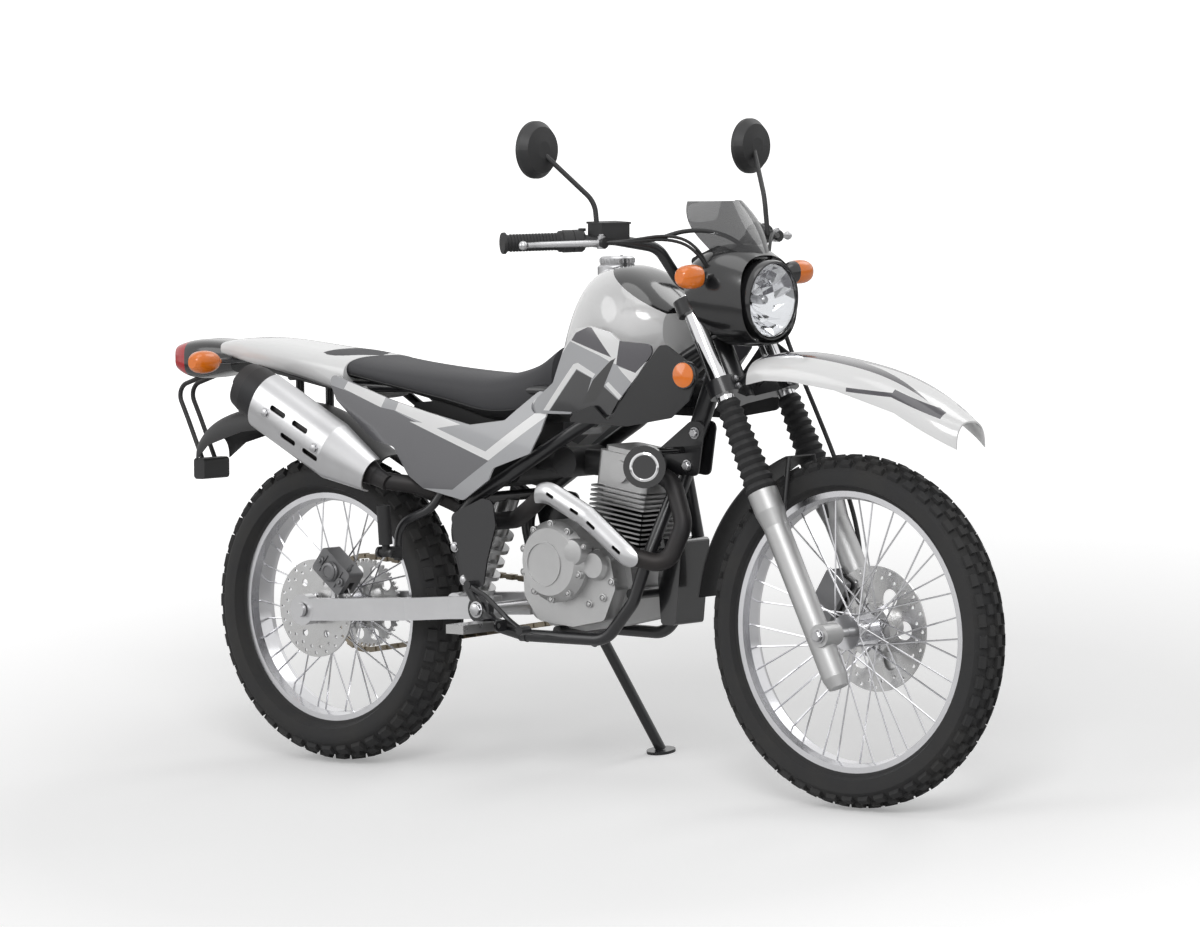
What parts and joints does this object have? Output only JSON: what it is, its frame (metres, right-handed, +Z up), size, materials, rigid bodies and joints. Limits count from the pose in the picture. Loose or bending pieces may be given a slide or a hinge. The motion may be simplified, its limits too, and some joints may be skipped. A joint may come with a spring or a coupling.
{
  "type": "dual sport motorcycle",
  "caption": "Single cylinder dual sport motorcycle parked on its side stand, with wire wheels, chain drive, high fender, long seat and raised exhaust.",
  "frame": {"origin": "centre of the bounding box at floor level", "axes": "+X forward, +Y to the rider's left, +Z up; the machine leans 8 degrees to its left on its side stand"},
  "size_m": [2.1514, 0.8284, 1.3674],
  "materials": {
    "frame_paint": "satin black",
    "arm_silver": "satin silver",
    "steel": "brushed",
    "engine_silver": "cast, satin",
    "engine_black": "matt black, fin edges bright",
    "heat_black": "matt heat paint",
    "shield": "satin",
    "tank_black": "gloss black",
    "panel_white": "gloss white with grey bands",
    "panel_grey": "gloss grey",
    "black_plastic": "grained",
    "seat_cover": "matt charcoal",
    "tyre_rubber": "matt",
    "rubber": "matt",
    "rim_silver": "polished",
    "chrome": "polished",
    "lens_clear": "clear",
    "lens_orange": "orange",
    "lens_red": "red",
    "screen": "smoked",
    "chain_steel": "oiled",
    "mirror_black": "gloss black"
  },
  "bodies": {
    "frame": {"frame_main": "frame_paint", "swingarm": "arm_silver", "rear_shock": "steel", "crankcase": "engine_silver", "engine_covers": "engine_silver", "cylinder": "engine_black", "cylinder_head": "engine_silver", "intake": "black_plastic", "header_pipe": "heat_black", "header_shield": "shield", "muffler": "heat_black", "muffler_guard": "shield", "fuel_tank": "tank_black", "fuel_cap": "steel", "seat": "seat_cover", "tail_cowl": "panel_white", "rear_fender": "black_plastic", "tail_light": "lens_red", "plate_bracket": "black_plastic", "rear_indicators": "lens_orange", "rear_caliper": "engine_silver", "chain": "chain_steel", "foot_controls": "steel", "horn": "black_plastic", "canister": "black_plastic", "peg_brackets": "frame_paint", "tank_panel_left": "panel_white", "shroud_left": "black_plastic", "side_cover_left": "panel_grey", "tank_panel_right": "panel_white", "shroud_right": "black_plastic", "side_cover_right": "panel_grey"},
    "steering": {"steering_stem": "frame_paint", "fork_tubes": "chrome", "fork_legs": "engine_silver", "fork_boots": "rubber", "handlebar": "frame_paint", "grips": "rubber", "hand_controls": "black_plastic", "mirrors": "mirror_black", "headlight": "lens_clear", "headlight_cowl": "black_plastic", "windscreen": "screen", "front_indicators": "lens_orange", "instrument": "black_plastic", "front_fender": "panel_white", "fork_mudguard": "black_plastic", "front_caliper": "engine_silver"},
    "front_wheel": {"front_tyre": "tyre_rubber", "front_rim": "rim_silver", "front_disc": "steel"},
    "rear_wheel": {"rear_tyre": "tyre_rubber", "rear_rim": "rim_silver", "rear_disc": "steel", "sprocket": "steel"},
    "side_stand": {"side_stand": "frame_paint"},
    "peg_left": {"peg_left": "steel"},
    "peg_right": {"peg_right": "steel"},
    "passenger_peg_left": {"passenger_peg_left": "rubber"},
    "passenger_peg_right": {"passenger_peg_right": "rubber"}
  },
  "joints": [
    {"name": "steering_turn", "type": "hinge", "parent": "frame", "child": "steering", "pos_m": [0.42938, -0.03853, 0.81], "axis": [-0.4478, 0.1244, 0.8855], "range_deg": [-42, 42]},
    {"name": "front_wheel_spin", "type": "hinge", "parent": "steering", "child": "front_wheel", "pos_m": [0.73273, -0.10429, 0.34213], "axis": [0, 0.9903, -0.1392], "continuous": true},
    {"name": "rear_wheel_spin", "type": "hinge", "parent": "frame", "child": "rear_wheel", "pos_m": [-0.62727, -0.10721, 0.32133], "axis": [0, 0.9903, -0.1392], "continuous": true},
    {"name": "side_stand_fold", "type": "hinge", "parent": "frame", "child": "side_stand", "pos_m": [-0.03703, 0.02492, 0.26565], "axis": [0.153, 0.9251, 0.3476], "range_deg": [0, 106]},
    {"name": "peg_left_fold", "type": "hinge", "parent": "frame", "child": "peg_left", "pos_m": [-0.07647, 0.0433, 0.3001], "axis": [1, 0, 0], "range_deg": [0, 75]},
    {"name": "peg_right_fold", "type": "hinge", "parent": "frame", "child": "peg_right", "pos_m": [-0.07647, -0.25774, 0.34241], "axis": [1, 0, 0], "range_deg": [-75, 0]},
    {"name": "passenger_peg_left_fold", "type": "hinge", "parent": "frame", "child": "passenger_peg_left", "pos_m": [-0.35119, 0.06994, 0.43215], "axis": [1, 0, 0], "range_deg": [-85, 0]},
    {"name": "passenger_peg_right_fold", "type": "hinge", "parent": "frame", "child": "passenger_peg_right", "pos_m": [-0.35119, -0.24695, 0.47669], "axis": [1, 0, 0], "range_deg": [0, 85]}
  ]
}
